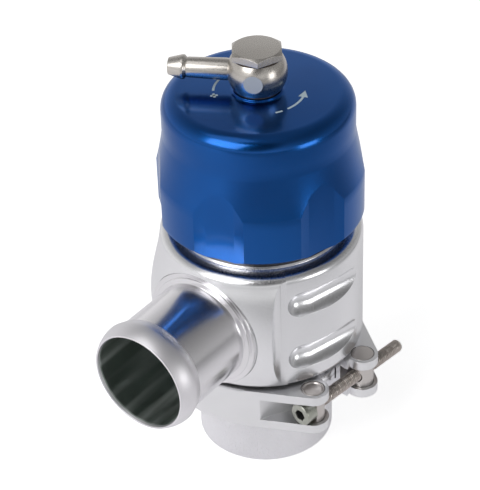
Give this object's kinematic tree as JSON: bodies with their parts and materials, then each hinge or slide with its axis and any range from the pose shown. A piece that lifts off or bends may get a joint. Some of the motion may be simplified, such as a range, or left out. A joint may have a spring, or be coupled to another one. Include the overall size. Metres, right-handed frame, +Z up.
{
  "type": "blow-off valve",
  "caption": "Piston blow-off valve with a V-band clamped inlet adapter, side hose outlet, scalloped adjuster cap and a swivelling signal nipple.",
  "frame": {"origin": "on the valve's axis, at the bottom face of the inlet adapter", "axes": "+Z up the valve's axis towards the cap, +X out of the outlet"},
  "size_m": [0.1108, 0.0878, 0.1655],
  "materials": {
    "body_satin": "satin machined",
    "outlet_polished": "polished",
    "adapter_brushed": "fine turned",
    "clamp_satin": "satin machined",
    "cap_blue": "blue anodised",
    "fitting_nickel": "satin nickel plate",
    "screw_steel": "stainless, dulled",
    "spring_steel": "plain",
    "piston_metal": "hard anodised",
    "seal_rubber": "matte",
    "guide_plastic": "filled PTFE",
    "washer_fibre": "dark fibre"
  },
  "bodies": {
    "root": {"inlet_adapter": "adapter_brushed", "inlet_seal": "seal_rubber", "clamp_rear_half": "clamp_satin", "clamp_hinge_pin": "screw_steel"},
    "clamp_front": {"clamp_front_half": "clamp_satin"},
    "front_trunnion": {"front_trunnion": "screw_steel"},
    "screw": {"clamp_screw": "screw_steel"},
    "rear_trunnion": {"rear_trunnion_nut": "clamp_satin"},
    "housing": {"valve_body": "body_satin", "outlet_tube": "outlet_polished", "outlet_seal": "seal_rubber", "cap_seal": "seal_rubber"},
    "piston": {"piston": "piston_metal", "piston_guide_ring": "guide_plastic", "piston_seal": "seal_rubber", "seat_seal": "seal_rubber", "return_spring": "spring_steel"},
    "spring_seat": {"spring_seat": "piston_metal", "thrust_washer": "guide_plastic"},
    "cap": {"adjuster_cap": "cap_blue", "banjo_washer_lower": "washer_fibre", "banjo_washer_upper": "washer_fibre", "banjo_bolt": "fitting_nickel"},
    "banjo": {"banjo_fitting": "fitting_nickel", "banjo_nipple": "fitting_nickel"}
  },
  "joints": [
    {"name": "housing_turn", "type": "hinge", "parent": "root", "child": "housing", "pos_m": [0, 0, 0.03575], "axis": [0, 0, 1], "continuous": true},
    {"name": "clamp_open", "type": "hinge", "parent": "root", "child": "clamp_front", "pos_m": [-0.00514, -0.03906, 0.03575], "axis": [0, 0, -1], "range_deg": [0, 4.5]},
    {"name": "front_trunnion_turn", "type": "hinge", "parent": "clamp_front", "child": "front_trunnion", "pos_m": [0.01831, 0.03491, 0.03575], "axis": [0, 0, 1], "range_deg": [0, 2.26]},
    {"name": "clamp_screw_turn", "type": "hinge", "parent": "front_trunnion", "child": "screw", "pos_m": [0.01831, 0.03491, 0.03575], "axis": [0.9914, -0.1305, 0], "range_deg": [0, 2690]},
    {"name": "rear_trunnion_turn", "type": "hinge", "parent": "root", "child": "rear_trunnion", "pos_m": [-0.00865, 0.03846, 0.03575], "axis": [0, 0, -1], "range_deg": [0, 2.26]},
    {"name": "piston_lift", "type": "slide", "parent": "housing", "child": "piston", "axis": [0, 0, 1], "range_m": [0, 0.012], "stiffness_N_per_m": 2500, "springref_m": -0.012, "deforming": ["return_spring"]},
    {"name": "preload_slide", "type": "slide", "parent": "housing", "child": "spring_seat", "axis": [0, 0, -1], "range_m": [-0.00301, 0.00551]},
    {"name": "cap_turn", "type": "hinge", "parent": "spring_seat", "child": "cap", "pos_m": [0, 0, 0.142], "axis": [0, 0, -1], "range_deg": [-720, 1320]},
    {"name": "banjo_swivel", "type": "hinge", "parent": "cap", "child": "banjo", "pos_m": [0, 0, 0.15623], "axis": [0, 0, 1], "continuous": true}
  ],
  "couplings": [
    {"joint": "clamp_screw_turn", "follows": "clamp_open", "ratio": 597.76},
    {"joint": "front_trunnion_turn", "follows": "clamp_open", "ratio": 0.5},
    {"joint": "rear_trunnion_turn", "follows": "clamp_open", "ratio": 0.5},
    {"joint": "preload_slide", "follows": "cap_turn", "m_per_rad": 0.00023873}
  ]
}
